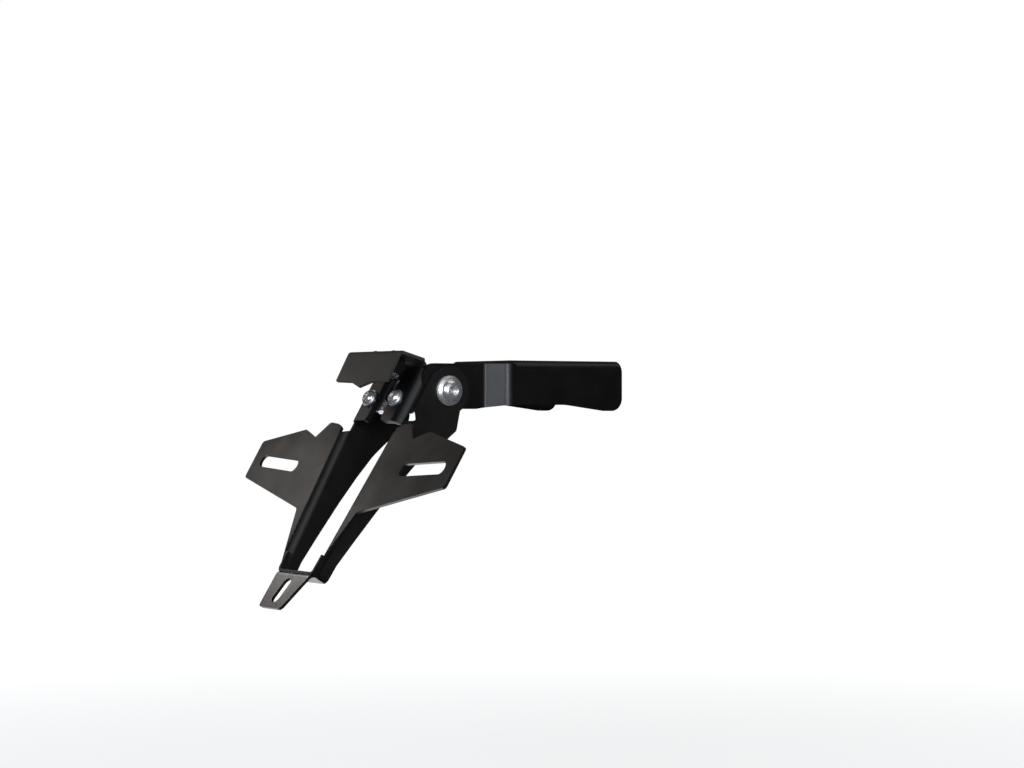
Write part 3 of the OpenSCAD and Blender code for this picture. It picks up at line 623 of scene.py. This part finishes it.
def nut_rings(size, flats, height, flange_r):
    """A flanged lock nut with a collar; the seat is at height 0."""
    hex_top = height * 0.75
    inner = size / 2 + 0.02 * MM
    collar = flats / 2 - 0.4 * MM
    return [
        round_ring(flange_r - 0.15 * MM, 0),
        round_ring(flange_r, 0.2 * MM),
        round_ring(flange_r, 0.7 * MM),
        round_ring(flange_r - 0.4 * MM, 1.2 * MM),
        hex_ring(flats, 1.3 * MM, 0.15 * MM),
        hex_ring(flats, hex_top - 0.5 * MM, 0.15 * MM),
        hex_ring(flats - 0.3 * MM, hex_top, 0.5 * MM),
        round_ring(collar, hex_top + 0.02 * MM),
        round_ring(collar, height - 0.5 * MM),
        round_ring(collar - 0.5 * MM, height),
        round_ring(inner + 0.7 * MM, height),
        round_ring(inner, height - 0.35 * MM),
        round_ring(inner, 0),
    ]


print("ring steps", RING_STEPS)

# %% [markdown]
# Each pivot has an M6 button-head bolt with a wide flange on a dull washer, a nylon washer between ear and
# arm that makes the friction, and a steel washer and a lock nut inside the arm. They lie along the hinge's
# axis. The stack runs inwards from the bolt's seat, and the left side is the right one turned round.

# %% Pivot bolts, washers and nuts
EAR_OUT = 23.5 * MM
HANGER_T = 1.5 * MM
OUTER_T = 1.2 * MM
NYLON_T = 0.5 * MM
ARM_T = 3 * MM
WASHER_T = 1 * MM
PIVOT_D = 6 * MM
arm_out = EAR_OUT - HANGER_T - NYLON_T
arm_in = arm_out - ARM_T
SIDES = (("left", -1), ("right", 1))


def on_pivot(side, offset, outwards=True):
    """A place on the pivot's axis whose height points outwards or inwards."""
    turn = math.radians(90 if (side > 0) == outwards else -90)
    return AT_PIVOT @ Matrix.Translation((side * offset, 0, 0)) @ Matrix.Rotation(turn, 4, "Y")


for word, side in SIDES:
    shank = OUTER_T + HANGER_T + NYLON_T + ARM_T + WASHER_T + 7 * MM
    rings = bolt_rings(PIVOT_D, shank, 5.4 * MM, 2.7 * MM, 7 * MM, 0.9 * MM, 4 * MM)
    piece = stacked("pivot_bolt_detail_" + word, rings, on_pivot(side, EAR_OUT + OUTER_T), zinc)
    finish_piece(piece, "bracket", "pivot_bolt_" + word)
    rings = washer_rings(7.4 * MM, PIVOT_D / 2 + 0.1 * MM, OUTER_T, 0.15 * MM)
    piece = stacked("dull_washer_" + word, rings, on_pivot(side, EAR_OUT), dull_zinc, closed=True)
    finish_piece(piece, "bracket", "outer_washer_" + word)
    rings = washer_rings(8 * MM, PIVOT_D / 2 + 0.1 * MM, NYLON_T, 0.1 * MM)
    piece = stacked("nylon_washer_" + word, rings, on_pivot(side, arm_out), nylon, closed=True)
    finish_piece(piece, "bracket", "friction_washer_" + word)
    rings = washer_rings(6 * MM, PIVOT_D / 2 + 0.1 * MM, WASHER_T, 0.15 * MM)
    piece = stacked("steel_washer_" + word, rings, on_pivot(side, arm_in - WASHER_T), zinc, closed=True)
    finish_piece(piece, "bracket", "pivot_washer_" + word)
    rings = nut_rings(PIVOT_D, 10 * MM, 6 * MM, 6 * MM)
    piece = stacked("lock_nut_" + word, rings, on_pivot(side, arm_in - WASHER_T, False), zinc, closed=True)
    finish_piece(piece, "bracket", "pivot_nut_" + word)
print("pivot stack from", round(EAR_OUT / MM, 1), "to", round((arm_in - WASHER_T) / MM, 1), "mm")

# %% [markdown]
# Two M4 bolts clamp the hood's flanges to the tabs of the arms. Their heads face backwards, and their lock
# nuts sit in front of the flanges.

# %% Lamp bolts, washers and nuts
TAB_REAR_W = -14.4 * MM
HOOD_T = 1.6 * MM
flange_front_w = TAB_REAR_W + ARM_T + HOOD_T
LAMP_BOLT_D = 4 * MM
LAMP_BOLT_U = 12 * MM
LAMP_BOLT_V = -13.5 * MM


def at_lamp_bolt(side, forward, backwards=True):
    """A place on a lamp bolt's axis whose height points backwards or forwards."""
    turn = math.radians(90 if backwards else -90)
    place = Matrix.Translation((side * LAMP_BOLT_U, forward, LAMP_BOLT_V))
    return IN_PLATE @ place @ Matrix.Rotation(turn, 4, "X")


def joined(name, pieces):
    """Makes one object of several that share a material."""
    bm = bmesh.new()
    for piece in pieces:
        bm.from_mesh(piece.data)
        material = piece.data.materials[0]
        bpy.data.objects.remove(piece)
    return from_bmesh(name, bm, material, sharp=TURNED_SHARP)


for word, side in SIDES:
    shank = ARM_T + HOOD_T + 2 * WASHER_T + 6 * MM
    rings = bolt_rings(LAMP_BOLT_D, shank, 4 * MM, 2.4 * MM, 0, 0, 2.5 * MM)
    piece = stacked("lamp_bolt_detail_" + word, rings, at_lamp_bolt(side, TAB_REAR_W - WASHER_T), zinc)
    finish_piece(piece, "bracket", "lamp_bolt_" + word)
    rings = nut_rings(LAMP_BOLT_D, 7 * MM, 5 * MM, 4 * MM)
    place = at_lamp_bolt(side, flange_front_w + WASHER_T, False)
    piece = stacked("lamp_lock_nut_" + word, rings, place, zinc, closed=True)
    finish_piece(piece, "bracket", "lamp_nut_" + word)

rings = washer_rings(4.6 * MM, LAMP_BOLT_D / 2 + 0.1 * MM, WASHER_T, 0.15 * MM)
for name, node, forward in (
    ("head_washers", "lamp_head_washers", TAB_REAR_W),
    ("tab_washers", "lamp_tab_washers", flange_front_w + WASHER_T),
):
    pair = [stacked(name + word, rings, at_lamp_bolt(s, forward), zinc, closed=True) for word, s in SIDES]
    finish_piece(joined(name, pair), "bracket", node)
print("lamp bolts seat at", round((TAB_REAR_W - WASHER_T) / MM, 2), "mm in the plate's frame")

# %% [markdown]
# Under the hood hangs a small sealed lamp: a black moulded housing, a clear lens that closes its underside
# and a circuit board with three white light-emitting diodes. Two black screws hold it to the hood's top.
# All three are eased copies of the CAD solids. On the board, the faces of the chips get their pale bodies
# and their yellow phosphor.

# %% Lamp
CHIP_T = 0.8 * MM
piece = eased("lamp_housing", "housing_shell", lamp_plastic, 0.3 * MM)
finish_piece(piece, "bracket", "lamp_housing")
piece = eased("lamp_lens", "lens_cover", clear_lens, 0.25 * MM)
finish_piece(piece, "bracket", "lamp_lens")
board = eased("led_board", "led_board_detail", solder_mask, 0.1 * MM)
finish_piece(board, "bracket", "led_board")
board.data.materials.append(led_body)
board.data.materials.append(led_phosphor)
low = min((OUT_OF_PLATE @ v.co).z for v in board.data.vertices)
for face in board.data.polygons:
    above = (OUT_OF_PLATE @ face.center).z - low
    if above < CHIP_T - 0.05 * MM:
        face.material_index = 2 if above < 0.01 * MM else 1
print("diode faces:", len([f for f in board.data.polygons if f.material_index]))

HOOD_SLOPE = math.radians(15)
HOOD_REAR_W = -30.2 * MM
HOOD_REAR_V = 3.6 * MM
SCREW_U = 8.5 * MM
SCREW_W = -24 * MM
SCREW_D = 2.96 * MM
screw_v = HOOD_REAR_V + (SCREW_W - HOOD_REAR_W) * math.tan(HOOD_SLOPE)
for word, side in SIDES:
    on_slope = Matrix.Translation((side * SCREW_U, SCREW_W, screw_v)) @ Matrix.Rotation(HOOD_SLOPE, 4, "X")
    seat = IN_PLATE @ on_slope @ Matrix.Translation((0, 0, HOOD_T / 2))
    rings = bolt_rings(SCREW_D, 6 * MM, 2.8 * MM, 1.6 * MM, 0, 0, 2 * MM)
    piece = stacked("lamp_screw_detail_" + word, rings, seat, black_screw)
    finish_piece(piece, "bracket", "lamp_screw_" + word)
print("screws at height", round(screw_v / MM, 2), "mm")
